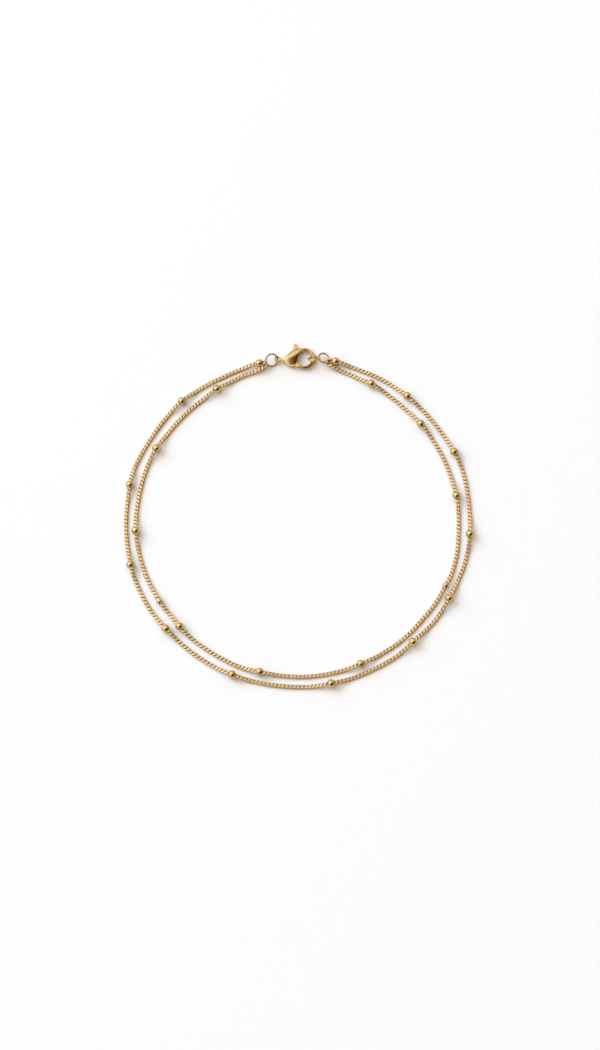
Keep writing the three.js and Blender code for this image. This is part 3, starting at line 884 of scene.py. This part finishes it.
# %% [markdown]
# The lever is one small stamping that rocks on the pin: a flat boss, a neck with a thumb knob
# that stands out past the head, and a curved gate that closes the hook. The neck and the gate
# are lofted as the casting is, and joined to the boss. The pin's hole is bored last, wider than
# the pin, so that the lever never touches it.

# %% Clasp lever
LEVER_HALF = 0.44  # half the blade's thickness, mm
BOSS_RADIUS = 1.45
GATE_OUT, GATE_IN = 4.05, 3.0  # radii about the hook's middle, as the hook's own
GATE_SHAPE = (LEVER_HALF, 0.2, LEVER_HALF, -0.5, 1.2)  # as BAR_SHAPE: its ridge is on the inside
NECK_RIM = 0.9  # as a share of the neck's height, so that its face is nearly flat
NECK_CROWN = 3.0
PIN_CLEARANCE = 0.1
BORE_HALF = 1.0  # the boring tool stands out of the blade on both sides

# How far left, how high, how far right, and half the thickness, up to the knob's round end
neck = [(-5.05, 0.1, -3.0, LEVER_HALF), (-4.75, 1.6, -2.9, LEVER_HALF), (-4.4, 3.0, -2.6, 0.46),
        (-4.32, 3.7, -2.54, 0.52), (-4.3, 4.2, -2.52, 0.58), (-4.28, 4.75, -2.54, 0.62),
        (-4.1, 5.22, -2.74, 0.6), (-3.75, 5.52, -3.1, 0.36)]
# Outer end and inner end, from the boss to the hook's tip
gate_reach = TIP_REACH - TIP_GAP / 2
gate = [((-5.0, -1.2), (-3.1, 0.4)), ((-4.3, -2.2), (-2.72, -0.9)), ((-3.6, -3.1), (-2.5, -1.75)),
        ((-2.6, -3.55), (-1.9, -2.4)), (on_circle(GATE_OUT, 248), on_circle(GATE_IN, 246)),
        (where_arcs_meet(GATE_OUT, gate_reach), where_arcs_meet(GATE_IN, gate_reach))]

lever = prism("lever_blade", disc_outline((px, py), BOSS_RADIUS), LEVER_HALF)
neck_stations = [station((left, y), (right, y), half, NECK_RIM * half, half, crown=NECK_CROWN)
                 for left, y, right, half in neck]
carve(lever, loft("neck", neck_stations), "UNION")
gate_stations = [station(outer, inner, *GATE_SHAPE) for outer, inner in gate]
carve(lever, loft("gate", gate_stations), "UNION")
bore = prism("bore", disc_outline((px, py), PIN_RADIUS + PIN_CLEARANCE), BORE_HALF)
carve(lever, bore, "DIFFERENCE")
lever.name = "clasp_rocker"
lever.data.set_sharp_from_angle(angle=SHARP_EDGE)
finish_piece(lever, "clasp_gold", "lever", "clasp_lever")
print("lever", len(lever.data.polygons), "faces")

# %% [markdown]
# The studio is a plain white table in a bright room. Broad daylight comes in low from the upper
# left: a sun lamp whose disc is made very wide throws shadows that are pale and fade quickly. It
# is bluish, because the room's own light is warm and the table has to come out white. A softbox
# on the same side gives the metal a bright shape to mirror.

# %% Table and window
TABLE_HALF = 2  # metres

floor = make_object("table", [(-TABLE_HALF, -TABLE_HALF, 0), (TABLE_HALF, -TABLE_HALF, 0),
                              (TABLE_HALF, TABLE_HALF, 0), (-TABLE_HALF, TABLE_HALF, 0)],
                    [(0, 1, 2, 3)])
paper = bpy.data.materials.new("matt_white_board")  # it scatters light evenly, with no sheen
paper.use_nodes = True
paper_shader = paper.node_tree.nodes["Principled BSDF"]
paper_shader.inputs["Base Color"].default_value = linear("#fafafa")
paper_shader.inputs["Roughness"].default_value = 0.8
floor.data.materials.append(paper)


def place_light(data, towards, distance):
    """Stands a light off the necklace in a direction, facing it."""
    lamp = bpy.data.objects.new(data.name, data)
    direction = Vector(towards).normalized()
    lamp.location = direction * distance
    lamp.rotation_euler = direction.to_track_quat("Z", "Y").to_euler()
    bpy.context.scene.collection.objects.link(lamp)
    return lamp


daylight = bpy.data.lights.new("low_window", "SUN")
daylight.energy = 1.4
daylight.angle = radians(38)  # the real sun's is half a degree
daylight.color = (0.76, 1.1, 1.54)
window = place_light(daylight, (-0.68, 0.52, 0.44), 0)
window.visible_glossy = False  # the metal mirrors the softbox and the room instead

softbox = bpy.data.lights.new("softbox_upper_left", "AREA")
softbox.size = 0.9
softbox.energy = 3.7
place_light(softbox, (-0.72, 0.42, 0.55), 1.5)
print("table, window and softbox")

# %% [markdown]
# The rest of the light is the room, and its picture matters more than its strength, because a
# polished bead mirrors the whole of it. It is painted by direction alone. The walls are pale
# towards the window and brown away from it. In front, a little to the right, it is dark, as if
# someone stood over the table: that is the small dark spot that every bead shows. Near the
# floor, all round, stands dull furniture, which darkens the flanks of the chain.

# %% The room
ROOM_STRENGTH = 1.46

world = bpy.data.worlds.new("bright_room")
world.use_nodes = True
bpy.context.scene.world = world
room = world.node_tree
room.nodes.clear()
gaze = add(room, "ShaderNodeTexCoord").outputs["Generated"]


def part_of_room(direction, start, end):
    """0 up to a start and 1 from an end, both cosines of the angle from a direction."""
    facing = add(room, "ShaderNodeVectorMath", {0: gaze, 1: Vector(direction).normalized()},
                 operation="DOT_PRODUCT")
    return add(room, "ShaderNodeMapRange",
               {"Value": facing.outputs["Value"], "From Min": start, "From Max": end},
               interpolation_type="SMOOTHSTEP")


def blend_room(share, below, above):
    """Mixes two colours of the room. Each is a hex value or an output socket."""
    below, above = (linear(c) if isinstance(c, str) else c for c in (below, above))
    mixed = add(room, "ShaderNodeMix", {"Factor": share, 6: below, 7: above}, data_type="RGBA")
    return mixed.outputs[2]


window_side = part_of_room((-0.7, 0.35, 0.5), -0.6, 0.95)
walls = blend_room(window_side, "#765c3c", "#fdf7ef")
someone = part_of_room((0.42, -0.62, 0.66), 0.62, 0.89)
all_round = blend_room(someone, walls, "#3f2309")
above_furniture = part_of_room((0, 0, 1), 0.05, 0.55)
whole_room = blend_room(above_furniture, "#8a7c50", all_round)
sky = add(room, "ShaderNodeBackground", {"Color": whole_room, "Strength": ROOM_STRENGTH})
add(room, "ShaderNodeOutputWorld", {"Surface": sky})
bpy.context.scene.view_settings.view_transform = "Standard"
print("room with", len(room.nodes), "nodes")
